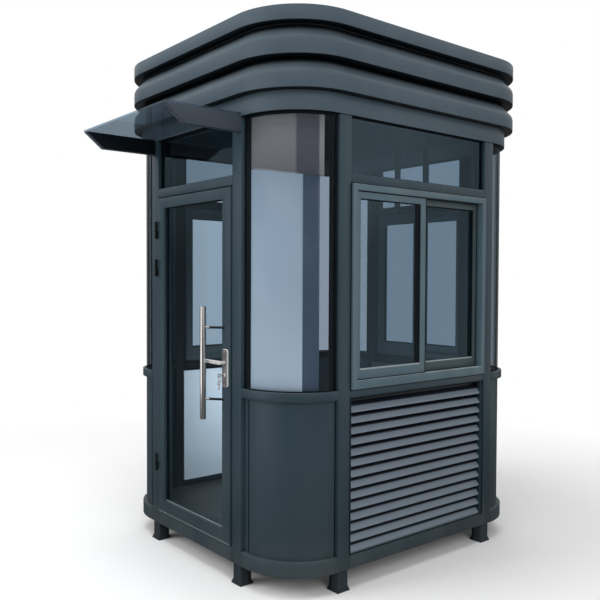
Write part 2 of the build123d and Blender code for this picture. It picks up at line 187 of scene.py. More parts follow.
fasciaPaint = {
    **framePaint, "dark": shade(0.046, 0.067, 0.086), "light": shade(0.065, 0.089, 0.109),
    # the fascia's inside faces take the grey of their lining instead
    "lining": shade(0.075, 0.078, 0.085), "liningFrom": 0.03, "dustAndHighlightCover": 0.6, "gloss": 0.2,
    "splash": 0,
}


def powderCoat(name, look):
    finish = Finish(name)
    cloud = finish.noise(look["cloudSize"], 3)
    streak = finish.noise(look["streakSize"], 4, look["streakStretch"])
    grain = finish.noise(look["grainSize"], 2)
    facing = finish.add("ShaderNodeNewGeometry", output="Normal")
    up = finish.axis("Z", facing)
    level = finish.axis("Z")
    depth = cornerRadius - wallDistance(finish)  # behind the frame's outer face
    # dust on upward faces; on the windows its pale tone also paints the highlight along the rails' top
    # edges
    dust = finish.between(up, 0, 1, *look["dustUp"])
    dust *= finish.between(streak, look["dustLeast"], 1, *noiseSpan)
    runs = finish.between(streak, 0, look["streaks"], *look["streakSpan"])
    # painted shade: darker towards the bottom
    lowShade = finish.between(level, look["lowShare"], 0, *look["lowRise"])
    splash = finish.between(level, look["splash"], 0, *look["splashRise"])
    splash *= finish.between(streak, look["splashLeast"], 1, *look["splashSpan"])
    paint = finish.blend(finish.between(cloud, 0, 1, *noiseSpan), look["dark"], look["light"])
    paint = finish.blend(runs, paint, look["dust"])
    paint = finish.blend(dust * look["dustAndHighlightCover"], paint, look["dust"])
    paint = finish.blend(lowShade, paint, look["low"])
    paint = finish.blend(splash, paint, look["dust"])
    # surfaces deep behind the outer face: near-black painted shade on the frame's and windows' inner
    # surfaces, the grey lining on the fascia
    if look["lining"]:
        start = look["liningFrom"]
        inside = finish.between(depth, 0, 1, start, start + look["liningEdge"])
        paint = finish.blend(inside, paint, look["lining"])
    if look.get("innerShade"):  # painted shade: dark on the side that faces the cabin's middle
        inner = finish.between(finish.axis("X", facing) * finish.axis("X"), 1, 0, *look["innerTurn"])
        paint = finish.blend(inner, paint, look["innerShade"])
    if look.get("channelFrom"):  # the upright channels keep the frame's colour
        apart = offMiddle(finish)
        ends = finish.maths("MINIMUM", finish.axis("X", apart), finish.axis("Y", apart))
        start = look["channelFrom"]
        ends = finish.between(ends, 0, 1, start, start + look["paintEdge"])
        paint = finish.blend(ends, paint, look["channel"])
    if look.get("pinAt"):  # only the knuckles are black, the plates are painted over
        away = finish.maths("ABSOLUTE", finish.axis("X") - look["pinAt"], 0)
        start = look["knuckle"]
        painted = finish.between(away, 0, 1, start, start + look["paintEdge"])
        paint = finish.blend(painted, paint, look["plate"])
    # painted shade: faces that turn down, and surfaces deep in the recesses, go dark
    if look.get("fold"):
        under = finish.between(up, 1, 0, *look["underTurn"])
        shadedRecess = finish.maths("MAXIMUM", under, finish.between(depth, 0, 1, *look["recessShadeDepth"]))
        paint = finish.blend(shadedRecess, paint, look["fold"])
    rough = finish.between(cloud, look["roughness"] - look["smoother"],
                           look["roughness"] + look["rougher"], *noiseSpan)
    return finish.show(finish.principled(
        Base_Color=paint, Roughness=rough + dust * look["dustRough"],
        Specular_IOR_Level=look["gloss"], Normal=finish.bump(grain, look["grain"], look["grainHeight"])))


glassLook = {
    "tint": shade(0.82, 0.87, 0.90), "edge": shade(0.34, 0.36, 0.37), "edgeSlant": (0.46, 0.85),
    "shine": shade(0.55, 0.82, 1), "polish": 0.012, "mirror": 0.05, "mirrorRise": 5,
    "dust": shade(0.3, 0.33, 0.36), "clean": 0.0, "dusty": 0.007, "smearSize": 3.5,
    "smearStretch": (1, 1, 0.45), "smearRough": 0.62, "smearSpan": (0.4, 0.75),
}


def clearGlass(name, look):
    finish = Finish(name)
    smear = finish.noise(look["smearSize"], 5, look["smearStretch"], look["smearRough"])
    slant = finish.add("ShaderNodeLayerWeight", values=[0.5], output="Facing")
    through = finish.add("ShaderNodeMixShader", values=[
        finish.between(slant, 0, 1, *look["edgeSlant"]),
        finish.add("ShaderNodeBsdfTransparent", values=[look["tint"]]),
        finish.add("ShaderNodeBsdfTransparent", values=[look["edge"]])])
    shine = finish.add("ShaderNodeBsdfGlossy", values={
        "Color": look["shine"], "Roughness": look["polish"]})
    film = finish.add("ShaderNodeBsdfDiffuse", values=[look["dust"]])
    behind = finish.add("ShaderNodeNewGeometry", output="Backfacing")
    mirror = slant ** look["mirrorRise"] * (1 - look["mirror"]) + look["mirror"]
    glazed = finish.add("ShaderNodeMixShader", values=[mirror * (1 - behind), through, shine])
    dusty = finish.between(smear, look["clean"], look["dusty"], *look["smearSpan"])
    return finish.show(finish.add("ShaderNodeMixShader", values=[dusty, glazed, film]))


steelLook = {
    "dark": shade(0.70, 0.70, 0.69), "light": shade(0.90, 0.89, 0.88), "tones": (0.35, 0.65),
    "brush": (1, 1, 0.02), "brushSize": 260, "relief": 0.12, "reliefHeight": 0.0002,
    "cloudSize": 18, "cloudShare": 0.4, "smooth": 0.12, "rough": 0.28, "roughSpan": (0.4, 0.95),
    "metal": 0.85, "oxideEdge": 0.002, "faceTurn": (-0.995, -0.9),
}


def brushedSteel(name, look):
    finish = Finish(name)
    lines = finish.noise(look["brushSize"], 3, look["brush"])
    cloud = finish.noise(look["cloudSize"], 2)
    tone = finish.blend(finish.between(lines, 0, 1, *look["tones"]), look["dark"], look["light"])
    if look.get("tubeBack"):  # the feet behind the tube are oxidised
        start = look["tubeBack"]
        behind = finish.between(finish.axis("Y"), 0, 1, start, start + look["oxideEdge"])
        tone = finish.blend(behind, tone, look["oxide"])
    if look.get("face"):  # the flat face is duller than its rounded rim
        normal = finish.add("ShaderNodeNewGeometry", output="Normal")
        front = finish.between(finish.axis("Y", normal), 1, 0, *look["faceTurn"])
        tone = finish.blend(front, tone, look["face"])
    rough = finish.between(lines + cloud * look["cloudShare"], look["smooth"], look["rough"],
                           *look["roughSpan"])
    return finish.show(finish.principled(
        Base_Color=tone, Metallic=look["metal"], Roughness=rough,
        Normal=finish.bump(lines, look["relief"], look["reliefHeight"])))


boardLook = {
    "dark": shade(0.74, 0.82, 0.90), "light": shade(0.82, 0.89, 0.95), "cloudSize": 2.4,
    "grainSize": 240, "stretch": (1, 1, 1), "grain": 0.05, "grainHeight": 0.0008,
    "fleck": 0.1, "fleckSpan": (0.5, 0.7), "roughness": 0.45, "rougher": 0.12, "gloss": 0.3,
    "rearEdge": 0.1,
}


def plainBoard(name, look):
    finish = Finish(name)
    cloud = finish.noise(look["cloudSize"], 3)
    grain = finish.noise(look["grainSize"], 3, look["stretch"])
    tone = finish.blend(finish.between(cloud, 0, 1, *noiseSpan), look["dark"], look["light"])
    tone = finish.blend(finish.between(grain, 0, look["fleck"], *look["fleckSpan"]), tone, look["dark"])
    if look.get("rear"):  # the rear wall has the darker board
        start = cabinY + coreY
        back = finish.between(finish.axis("Y"), 0, 1, start, start + look["rearEdge"])
        tone = finish.blend(back, tone, look["rear"])
    rough = finish.between(cloud, look["roughness"], look["roughness"] + look["rougher"], *noiseSpan)
    return finish.show(finish.principled(
        Base_Color=tone, Roughness=rough, Specular_IOR_Level=look["gloss"],
        Normal=finish.bump(grain, look["grain"], look["grainHeight"])))


hinge = {"pin": -0.380, "knuckle": 0.010, "plate": 0.003, "levels": (0.475, 1.620, 1.840),
         "screwIn": 0.017, "rows": (0.013, 0.037), "leafProud": 0.008}
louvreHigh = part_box("right_louvre")[1]
# the louvres' channel width, the depths of the painted shade between their blades, and how far they sit
# in
louvre = {"channel": 0.0165, "fold": (0.0175, 0.0225), "in": halfWidth - louvreHigh.x}
finishes = {
    "frame_paint": powderCoat("frameCoat", framePaint),
    # the fascia bands carry painted shade in the tucked-in shoulder under each band's lip
    "fascia_paint": powderCoat("fasciaCoat", {
        **fasciaPaint, "fold": shade(0.003, 0.005, 0.007), "recessShadeDepth": (-0.018, 0.006)}),
    "louvre_paint": powderCoat("louvreCoat", {
        **framePaint, "dark": shade(0.124, 0.154, 0.190), "light": shade(0.146, 0.179, 0.218),
        "lowShare": 0, "splash": 0.1, "liningFrom": 0.2, "dustAndHighlightCover": 0.2,
        "channelFrom": louvreHigh.y - cabinY - louvre["channel"], "channel": framePaint["dark"],
        # painted shade in the gaps beneath the louvre blades
        "fold": shade(0.0025, 0.0045, 0.009),
        "recessShadeDepth": [louvre["in"] + depth for depth in louvre["fold"]]}),
    "window_paint": powderCoat("windowCoat", {
        **framePaint, "dark": shade(0.060, 0.095, 0.115), "light": shade(0.075, 0.115, 0.138),
        # the windows' pale dust on upward faces is partly a painted highlight along the rails' top edges
        "grain": 0.12, "dust": shade(0.42, 0.46, 0.47), "dustAndHighlightCover": 0.8, "liningFrom": 0.030,
        # painted shade on the recessed inner sash
        "fold": shade(0.040, 0.058, 0.064), "recessShadeDepth": (0.016, 0.028)}),
    "black_hinge": powderCoat("hingeCoat", {
        **framePaint, "dark": shade(0.006, 0.007, 0.008), "light": shade(0.011, 0.012, 0.014),
        "dustAndHighlightCover": 0.2, "roughness": 0.35, "lining": None,
        "pinAt": hinge["pin"], "knuckle": hinge["knuckle"], "plate": framePaint["light"]}),
    "tinted_glass": clearGlass("tintedGlass", {**glassLook, "tint": shade(0.60, 0.66, 0.71)}),
    "door_glass": clearGlass("doorGlass", {**glassLook, "tint": shade(0.86, 0.92, 0.96)}),
    "canopy_glass": clearGlass("canopyGlass", {
        **glassLook, "tint": shade(0.56, 0.66, 0.73), "edge": shade(0.50, 0.57, 0.63),
        "clean": 0.04, "dusty": 0.14}),
    "polished_steel": brushedSteel("polishedSteel", steelLook),
    "lining_board": plainBoard("liningBoard", {**boardLook, "rear": shade(0.05, 0.06, 0.07)}),
    "floor_board": plainBoard("vinylFloor", {
        **boardLook, "dark": shade(0.030, 0.032, 0.030), "light": shade(0.055, 0.055, 0.050),
        "stretch": (0.15, 1, 1), "grainSize": 60, "fleck": 0.5, "grain": 0.3}),
    "roof_sheet": plainBoard("ceilingSheet", {
        **boardLook, "dark": shade(0.040, 0.046, 0.052), "light": shade(0.060, 0.066, 0.074),
        "fleck": 0.02, "grain": 0.0}),
}
for part in frame["record"]["subparts"]:
    for held in frame["nodes"][part["node"]].material_slots:
        held.material = finishes[part["material_slot"]]
frame["nodes"]["corner_glass"].material_slots[0].material = clearGlass("cornerGlass", {
    **glassLook, "tint": shade(0.70, 0.74, 0.78), "shine": shade(0.26, 0.29, 0.32)})
print("finishes made:", len(finishes) + 1)

# Walls as working planes: x runs along the wall, y is up and z points out
walls = {
    "front": (Vector((0, cabinY - halfDepth, 0)), Vector((1, 0, 0))),
    "right": (Vector((halfWidth, cabinY, 0)), Vector((0, 1, 0))),
    "rear": (Vector((0, cabinY + halfDepth, 0)), Vector((-1, 0, 0))),
    "left": (Vector((-halfWidth, cabinY, 0)), Vector((0, -1, 0))),
}
windowWalls = ("right", "rear", "left")


def wallPlane(wall, along=0.0, height=0.0, out=0.0):
    start, run = walls[wall]
    rise = Vector((0, 0, 1))
    normal = run.cross(rise)
    turned = Matrix((run, rise, normal)).transposed().to_4x4()
    return Matrix.Translation(start + run * along + rise * height + normal * out) @ turned


def wallCentre(wall, across, upright, out=0.0):
    return wallPlane(wall, sum(across) / 2, sum(upright) / 2, out)


def rotation(degrees, axis):
    return Matrix.Rotation(math.radians(degrees), 4, axis)


def makeObject(name, mesh):
    data = bpy.data.meshes.new(name)
    mesh.normal_update()
    mesh.to_mesh(data)
    mesh.free()
    piece = bpy.data.objects.new(name, data)
    bpy.context.scene.collection.objects.link(piece)
    return piece


def keep(name, mesh, body, slot, finish=None):
    piece = makeObject(name, mesh)
    piece.data.materials.append(finish or finishes[slot])
    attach(piece, body)
    return piece


def wallSpan(node, wall):
    low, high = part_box(node)
    back = wallPlane(wall).inverted()
    ends = [back @ low, back @ high]
    return [(min(one, other), max(one, other)) for one, other in zip(*ends)]


def facesOf(verts):
    return list({face for vert in verts for face in vert.link_faces})


def edgesOf(verts):
    return list({edge for vert in verts for edge in vert.link_edges})


def roundOff(mesh, edges, width, clamp=False):
    return bmesh.ops.bevel(mesh, geom=edges, offset=width, affect="EDGES", segments=2,
                           profile=0.5, material=-1, clamp_overlap=clamp)["verts"]


folds = {"rim": 1.0, "soft": 0.35, "flat": math.radians(1)}  # angles in radians


def addRing(mesh, place, size, band, depth, bevel=0.0):
    made = bmesh.ops.create_grid(mesh, x_segments=1, y_segments=1, size=0.5)["verts"]
    bmesh.ops.scale(mesh, vec=(size[0], size[1], 1), verts=made)
    face = made[0].link_faces[0]
    rim = bmesh.ops.inset_region(mesh, faces=[face], thickness=band, use_boundary=True,
                                 use_even_offset=True)["faces"]
    bmesh.ops.delete(mesh, geom=[face], context="FACES_ONLY")
    raised = bmesh.ops.extrude_face_region(mesh, geom=rim, use_keep_orig=True)["geom"]
    lifted = [part for part in raised if isinstance(part, bmesh.types.BMVert)]
    bmesh.ops.translate(mesh, vec=(0, 0, depth), verts=lifted)
    verts = list({vert for item in rim for vert in item.verts} | set(lifted))
    if bevel:
        edges = [edge for edge in edgesOf(lifted) if all(end in lifted for end in edge.verts)
                 and edge.calc_face_angle(0) > folds["rim"]]
        made = roundOff(mesh, edges, bevel)
        verts = list({vert for vert in verts if vert.is_valid} | set(made))
    bmesh.ops.transform(mesh, matrix=place, verts=verts)
    bmesh.ops.recalc_face_normals(mesh, faces=facesOf(verts))


def addBlock(mesh, place, size, bevel=0.0):
    made = bmesh.ops.create_cube(mesh, size=1)["verts"]
    bmesh.ops.scale(mesh, vec=size, verts=made)
    if bevel:
        made = roundOff(mesh, edgesOf(made), bevel)
    bmesh.ops.transform(mesh, matrix=place, verts=made)


def addArc(mesh, corner, section, sweep, steps):  # a bar bent round one corner of the core
    inner, outer, low, high = section
    made = bmesh.ops.create_circle(mesh, cap_ends=False, segments=4, radius=math.sqrt(0.5))["verts"]
    upright = (
        rotation(90 * corner - 90 + sweep[0], "Z")
        @ Matrix.Translation(((inner + outer) / 2, 0, (low + high) / 2))
        @ rotation(90, "X") @ Matrix.Diagonal((outer - inner, high - low, 1, 1)) @ rotation(45, "Z"))
    bmesh.ops.transform(mesh, matrix=upright, verts=made)
    spun = bmesh.ops.spin(
        mesh, geom=made + edgesOf(made), cent=(0, 0, 0), axis=(0, 0, 1), steps=steps,
        use_merge=False, angle=math.radians(sweep[1] - sweep[0]))["geom_last"]
    reached = set(made) | {vert for vert in spun if isinstance(vert, bmesh.types.BMVert)}
    front = list(reached)
    while front:
        front = [edge.other_vert(vert) for vert in front for edge in vert.link_edges
                 if edge.other_vert(vert) not in reached]
        reached |= set(front)
    ends = [edge for edge in edgesOf(reached) if edge.is_boundary]
    bmesh.ops.holes_fill(mesh, edges=ends, sides=4)
    bmesh.ops.recalc_face_normals(mesh, faces=facesOf(reached))
    across = coreX if corner in (0, 1) else -coreX
    along = coreY if corner in (1, 2) else -coreY
    bmesh.ops.translate(mesh, vec=(across, cabinY + along, 0), verts=list(reached))


# Rolled and folded edges: copies of the plain pieces with their edges eased
softEdges = {
    "posts": 0.0035, "base_rails": 0.002, "base_corners": 0.002, "sill_rails": 0.002,
    "corner_sills": 0.002, "transom_rails": 0.002, "door_leaf": 0.0012, "canopy_brackets": 0.0015,
    "right_window_frame": 0.003, "rear_window_frame": 0.003, "left_window_frame": 0.003,
    "right_window_sashes": 0.0015, "rear_window_sashes": 0.0015, "left_window_sashes": 0.0015,
    "feet": 0.0015, "lever_handle": 0.0012, "lock_plate": 0.0008, "pull_handle": 0.0008,
}
roofRings = {"ring_beam": 0.002, "lower_fascia": 0.0025, "middle_fascia": 0.0025, "top_fascia": 0.003}
weld = 0.00002
butt = {"square": 0.99, "near": 0.0001}
tubeBack = 0.0325  # from the front of the pull handle to the back of its tube
slotOf = {part["node"]: part["material_slot"] for part in frame["record"]["subparts"]}
bodyOf = {node: body for body, nodes in frame["record"]["behaviour"]["bodies"].items()
          for node in nodes}


def camel(node):
    first, *others = node.split("_")
    return first + "".join(word.title() for word in others)


def easeEdges(mesh, width):
    bmesh.ops.remove_doubles(mesh, verts=mesh.verts, dist=weld)
    bmesh.ops.dissolve_limit(mesh, angle_limit=folds["flat"], verts=mesh.verts, edges=mesh.edges)
    sharp = [edge for edge in mesh.edges
             if edge.is_manifold and edge.calc_face_angle(0) > folds["soft"]]
    roundOff(mesh, sharp, width, clamp=True)
    for face in mesh.faces:
        face.smooth = True


def isButt(face):  # an end face where a straight length meets its corner
    spot = face.verts[0].co
    apart = (abs(abs(spot.x) - coreX), abs(abs(spot.y - cabinY) - coreY))
    return any(abs(face.normal[side]) > butt["square"] and apart[side] < butt["near"]
               for side in (0, 1))


ownFinish = {
    "feet": powderCoat("footCoat", {
        **framePaint, "dark": shade(0.007, 0.010, 0.011), "light": shade(0.012, 0.016, 0.018),
        "splash": 0.05}),
    # the brackets' inner faces take painted shade
    "canopy_brackets": powderCoat("bracketCoat", {
        **fasciaPaint, "dark": shade(0.034, 0.044, 0.056), "light": shade(0.048, 0.059, 0.074),
        "lining": None, "innerShade": shade(0.004, 0.006, 0.008)}),
    "lock_plate": brushedSteel("plateSteel", {
        **steelLook, "metal": 0.5, "face": shade(0.17, 0.165, 0.17)}),
    "lever_handle": brushedSteel("leverSteel", {**steelLook, "metal": 0.5, "rough": 0.2}),
    "pull_handle": brushedSteel("pullSteel", {
        **steelLook, "metal": 1.0, "tubeBack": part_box("pull_handle")[0].y + tubeBack,
        "oxide": shade(0.05, 0.06, 0.075)}),
}
for node, width in softEdges.items():
    mesh = bmesh.new()
    mesh.from_mesh(frame["nodes"][node].data)
    easeEdges(mesh, width)
    piece = keep(camel(node), mesh, bodyOf[node], slotOf[node], ownFinish.get(node))
    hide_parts(node)
# painted shade on the ring beam's faces that turn down
ringCoat = powderCoat("ringBeamCoat", {
    **fasciaPaint, "fold": shade(0.003, 0.005, 0.007), "recessShadeDepth": (0.8, 0.9)})
for ring, width in roofRings.items():  # straight lengths and corners become one folded ring
    mesh = bmesh.new()
    for node in (f"{ring}_sides", f"{ring}_corners"):
        mesh.from_mesh(frame["nodes"][node].data)
    butts = [face for face in mesh.faces if isButt(face)]
    bmesh.ops.delete(mesh, geom=butts, context="FACES")
    easeEdges(mesh, width)
    piece = keep(camel(ring), mesh, "cabin", slotOf[f"{ring}_sides"],
                 ringCoat if ring == "ring_beam" else None)
    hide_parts(f"{ring}_sides", f"{ring}_corners")
print("edges eased:", len(softEdges) + len(roofRings))

# Seals round the fixed glass, the door glass and the sash glass
rubber = plainBoard("blackRubber", {
    **boardLook, "dark": shade(0.0025, 0.0045, 0.006), "light": shade(0.005, 0.008, 0.010),
    "roughness": 0.6, "gloss": 0.1})
seal = {"band": 0.005, "head": 0.012, "depth": 0.004, "round": 0.001}
pane = {"inset": 0.022, "thickness": 0.008, "meeting": 0.021, "sash": 0.006}
halfOpening = {wall: wallSpan(f"{wall}_window_frame", wall)[0][1] for wall in windowWalls}
halfOpening["front"] = wallSpan("door_stops", "front")[0][1]
fanLow, fanHigh = (corner.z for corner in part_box("fanlight_glass"))
cornerLow, cornerHigh = (corner.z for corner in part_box("corner_glass"))


def sealBothFaces(mesh, wall, across, upright, faces):
    size = (across[1] - across[0], upright[1] - upright[0])
    for out, half in zip(faces, (0, 180)):
        place = wallCentre(wall, across, upright, out) @ rotation(half, "Y")
        addRing(mesh, place, size, seal["band"], seal["depth"], seal["round"])


def sashPanes(wall):  # the outer sash, then the inner one: width, height, outer and inner face
    (left, right), upright, (inner, outer) = wallSpan(f"{wall}_window_glass", wall)
    return (((left, -pane["meeting"]), upright, (outer, outer - pane["sash"])),
            ((pane["meeting"], right), upright, (inner + pane["sash"], inner)))


mesh = bmesh.new()
across, upright, (inner, outer) = wallSpan("door_glass", "front")
sealBothFaces(mesh, "front", across, upright, (outer, inner))
keep("doorGlassSeal", mesh, "door", "black_hinge", rubber)
mesh = bmesh.new()
for wall, half in halfOpening.items():
    sealBothFaces(mesh, wall, (-half, half), (fanLow, fanHigh),
                  (-pane["inset"], -pane["inset"] - pane["thickness"]))
keep("fanlightSeals", mesh, "cabin", "black_hinge", rubber)
for wall in windowWalls:
    mesh = bmesh.new()
    for across, upright, faces in sashPanes(wall):
        sealBothFaces(mesh, wall, across, upright, faces)
    keep(f"{wall}WindowSeals", mesh, "cabin", "black_hinge", rubber)
meetingShadeStrip = {"width": 0.037, "thick": 0.0015, "round": 0.0004}  # black strip on the outer pane by each meeting stile: painted shade for the inner sash's shaded stile seen through the glass
mesh = bmesh.new()
for wall in windowWalls:
    _, (low, high), (_, outer) = wallSpan(f"{wall}_window_glass", wall)
    place = wallPlane(wall, -pane["meeting"] - meetingShadeStrip["width"] / 2, (low + high) / 2,
                      outer + meetingShadeStrip["thick"] / 2)
    addBlock(mesh, place, (meetingShadeStrip["width"], high - low, meetingShadeStrip["thick"]), meetingShadeStrip["round"])
keep("meetingShadeStrips", mesh, "cabin", "black_hinge", rubber)
bead = {"height": 0.007, "stand": 0.006, "round": 0.0008}  # under sash panes and door glass; their pale bare metal is partly a painted highlight along these lower edges
footStrip = {"height": 0.005, "stand": 0.0012, "round": 0.0004}  # along the foot of the door leaf; its pale bare metal is partly a painted highlight on the leaf's bottom edge
bareMetalAndHighlight = powderCoat("bareMetalAndHighlight", {
    **framePaint, "dark": shade(0.24, 0.28, 0.29), "light": shade(0.32, 0.36, 0.37),
    "lining": None})


def addStrip(mesh, wall, across, low, face, strip):
    place = wallPlane(wall, sum(across) / 2, low + strip["height"] / 2, face + strip["stand"] / 2)
    size = (across[1] - across[0], strip["height"], strip["stand"])
    addBlock(mesh, place, size, strip["round"])


mesh = bmesh.new()
for wall in windowWalls:
    for across, (low, _), (face, _) in sashPanes(wall):
        addStrip(mesh, wall, across, low, face, bead)
keep("glazingBeads", mesh, "cabin", "window_paint", bareMetalAndHighlight)
mesh = bmesh.new()
across, (low, _), (_, outer) = wallSpan("door_glass", "front")
addStrip(mesh, "front", across, low, outer, bead)
(left, right), (low, _), (_, outer) = wallSpan("door_leaf", "front")
edge = footStrip["height"] / 2  # the strip stays this far inside the leaf
addStrip(mesh, "front", (left + edge, right - edge), low + edge, outer, footStrip)
keep("doorTrim", mesh, "door", "window_paint", bareMetalAndHighlight)
brush = {"band": 0.0045, "stand": 0.0015, "depth": 0.0024, "meeting": 0.021,
         "outerBack": 0.012, "innerBack": 0.042}
mesh = bmesh.new()
for wall in windowWalls:
    (left, right), (low, high), _ = wallSpan(f"{wall}_window_sashes", wall)
    face = wallSpan(f"{wall}_window_frame", wall)[2][1]
    for start, end, back in ((left, brush["meeting"], brush["outerBack"]),
                             (-brush["meeting"], right, brush["innerBack"])):
        place = wallCentre(wall, (start, end), (low, high), face - back - brush["stand"])
        addRing(mesh, place, (end - start, high - low), brush["band"], brush["depth"])
keep("sashBrushes", mesh, "cabin", "black_hinge", rubber)

# Sealant where the frames, louvres and corner panels meet the posts and rails
sealant = {"width": 0.005, "stand": 0.0025, "round": 0.0008}
mesh = bmesh.new()
for wall in windowWalls:
    for node in ("window_frame", "louvre"):
        across, upright, _ = wallSpan(f"{wall}_{node}", wall)
        size = [high - low + 2 * sealant["width"] for low, high in (across, upright)]
        addRing(mesh, wallCentre(wall, across, upright), size, sealant["width"],
                sealant["stand"], sealant["round"])
keep("frameSealant", mesh, "cabin", "black_hinge", rubber)
panelBead = {"starts": (0.3, 88.7), "turn": 1.0, "sunk": 0.0005, "stand": 0.0015, "margin": 0.002}
panelLow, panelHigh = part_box("corner_panels")
panelFace = panelHigh.x - coreX
mesh = bmesh.new()
for corner in range(4):
    for start in panelBead["starts"]:
        addArc(mesh, corner, (panelFace - panelBead["sunk"], panelFace + panelBead["stand"],
                              panelLow.z + panelBead["margin"], panelHigh.z - panelBead["margin"]),
               (start, start + panelBead["turn"]), 2)
keep("panelSealant", mesh, "cabin", "black_hinge", rubber)
print("sealant made")
cornerSeal = {"sweep": (-3, 93), "steps": 24, "ends": ((-3.0, 3.2), (87.4, 93.0))}
mesh = bmesh.new()
faceRadius = cornerRadius - pane["inset"]
backRadius = faceRadius - pane["thickness"]
for corner in range(4):
    for inner, outer in ((faceRadius, faceRadius + seal["depth"]),
                         (backRadius - seal["depth"], backRadius)):
        for low, high in ((cornerLow, cornerLow + seal["band"]),
                          (cornerHigh - seal["head"], cornerHigh)):
            addArc(mesh, corner, (inner, outer, low, high), cornerSeal["sweep"], cornerSeal["steps"])
        for sweep in cornerSeal["ends"]:
            addArc(mesh, corner, (inner, outer, cornerLow, cornerHigh), sweep, 2)
keep("cornerGlassSeals", mesh, "cabin", "black_hinge", rubber)
print("seals made")

# Painted light on the corner glass beside the door: a pale sheet painted with the light seen in the
# glass, a darker strip of painted shade, and a head with painted haze, painted shade and a strip of
# painted highlight
lightSheetLook = {
    "seam": 2.072, "seamGap": 0.001, "sillGap": 0.006, "headGap": 0.014, "sunk": 0.0001,
    "stand": 0.0006, "steps": 24, "slope": 0.156, "pivot": coreX + 0.166,
    "cloudSize": 2.2, "cloudStretch": (1, 1, 0.6), "waver": 0.12, "fadeBelowHead": 0.3, "fade": 2.2,
    "roughness": (0.16, 0.26), "gloss": 0.12, "thinner": 0.75, "thinSpan": (0.3, 0.5),
}
aboveSeam = lightSheetLook["seam"] + lightSheetLook["seamGap"]
lowSheet = {"bottom": cornerLow + lightSheetLook["sillGap"], "top": lightSheetLook["seam"],
            "cut": lightSheetLook["seam"]}
headSheet = {"bottom": aboveSeam, "top": cornerHigh - lightSheetLook["headGap"], "cut": aboveSeam}
paintedLightSheets = {
    # painted light seen in the glass
    "paleLightSheet": {**lowSheet, "sweep": (3.5, 56.0), "hide": 1.0,
                 "dark": shade(0.175, 0.232, 0.300), "light": shade(0.42, 0.53, 0.66)},
    # a strip of painted shade
    "darkShadeSheet": {**lowSheet, "sweep": (56.0, 71.5), "hide": 0.85,
                 "dark": shade(0.040, 0.062, 0.095), "light": shade(0.062, 0.092, 0.138)},
    # painted haze of light at the head
    "headHazeSheet": {**headSheet, "sweep": (3.5, 50.0), "hide": 0.42,
                 "dark": shade(0.22, 0.23, 0.25), "light": shade(0.30, 0.31, 0.33)},
    # painted shade at the head
    "headShadeSheet": {**headSheet, "sweep": (50.0, 71.0), "hide": 0.36,
                  "dark": shade(0.11, 0.12, 0.15), "light": shade(0.18, 0.195, 0.225)},
    # a narrow strip of painted highlight
    "edgeHighlightSheet": {**headSheet, "sweep": (71.0, 76.0), "hide": 0.55,
                 "dark": shade(0.24, 0.25, 0.27), "light": shade(0.30, 0.31, 0.33)},
}
sheetSlant = Matrix.Identity(4)
sheetSlant[2][0] = -lightSheetLook["slope"]
sheetSlant[2][3] = lightSheetLook["slope"] * lightSheetLook["pivot"]


def lightSheetFinish(name, sheet):
    tone = Finish(name)
    cloud = tone.noise(lightSheetLook["cloudSize"], 4, lightSheetLook["cloudStretch"])
    faded = tone.between(tone.axis("Z") + cloud * lightSheetLook["waver"], 1, 0,  # painted light, paler at the sill
                         cornerLow, cornerHigh - lightSheetLook["fadeBelowHead"])
    hide = sheet["hide"]
    if hide < 1:
        hide = tone.between(cloud, hide * lightSheetLook["thinner"], hide, *lightSheetLook["thinSpan"])
    return tone.show(tone.principled(
        Base_Color=tone.blend(faded ** lightSheetLook["fade"], sheet["dark"], sheet["light"]),
        Roughness=tone.between(cloud, *lightSheetLook["roughness"], *noiseSpan),
        Specular_IOR_Level=lightSheetLook["gloss"], Alpha=hide))


for name, sheet in paintedLightSheets.items():
    mesh = bmesh.new()
    addArc(mesh, 0, (faceRadius - lightSheetLook["sunk"], faceRadius + lightSheetLook["stand"],
                     sheet["bottom"], sheet["top"]), sheet["sweep"], lightSheetLook["steps"])
    cut = [vert for vert in mesh.verts if abs(vert.co.z - sheet["cut"]) < lightSheetLook["seamGap"]]
    bmesh.ops.transform(mesh, matrix=sheetSlant, verts=cut)  # the seam slopes along the edge of the painted light
    for face in mesh.faces:
        face.smooth = abs(face.normal.z) < 0.5
    keep(name, mesh, "cabin", "lining_board", lightSheetFinish(name, sheet))
print("sun film made:", len(paintedLightSheets))

# Screws of the hinges and the lock plate, and the keys in the cylinder
screw = {"radius": 0.0034, "rise": 0.0016, "sides": 20, "taper": 0.86, "socket": 0.5, "deep": 0.6}
lock = {"across": 0.338, "low": 1.001, "high": 1.196, "face": 0.017, "screwIn": 0.014,
        "keyLevel": 1.061, "keyFace": 0.023}
keyShape = {"bow": 0.0085, "band": 0.0038, "thick": 0.0022, "bowThin": 0.7, "round": 0.0004,
            "blade": 0.0075, "shank": 0.016, "hung": 0.030, "ring": 0.0105, "wire": 0.0009}
keyHang = {"ringTurn": 12, "ringTilt": 8, "keyTurn": -75, "overlap": 0.001, "forward": 0.002,
           "aside": 0.003}
hingeRows = [(level, row) for level in hinge["levels"] for row in hinge["rows"]]
screwSpots = {
    "hingeScrewsPost": ("cabin", "frame_paint", [
        (hinge["pin"] - hinge["screwIn"], level - row, hinge["plate"])
        for level, row in hingeRows]),
    "hingeScrewsLeaf": ("door", "frame_paint", [
        (hinge["pin"] + hinge["screwIn"], level + row, hinge["leafProud"] + hinge["plate"])
        for level, row in hingeRows]),
    "lockScrews": ("door", "polished_steel", [
        (lock["across"], level, lock["face"])
        for level in (lock["low"] + lock["screwIn"], lock["high"] - lock["screwIn"])]),
}


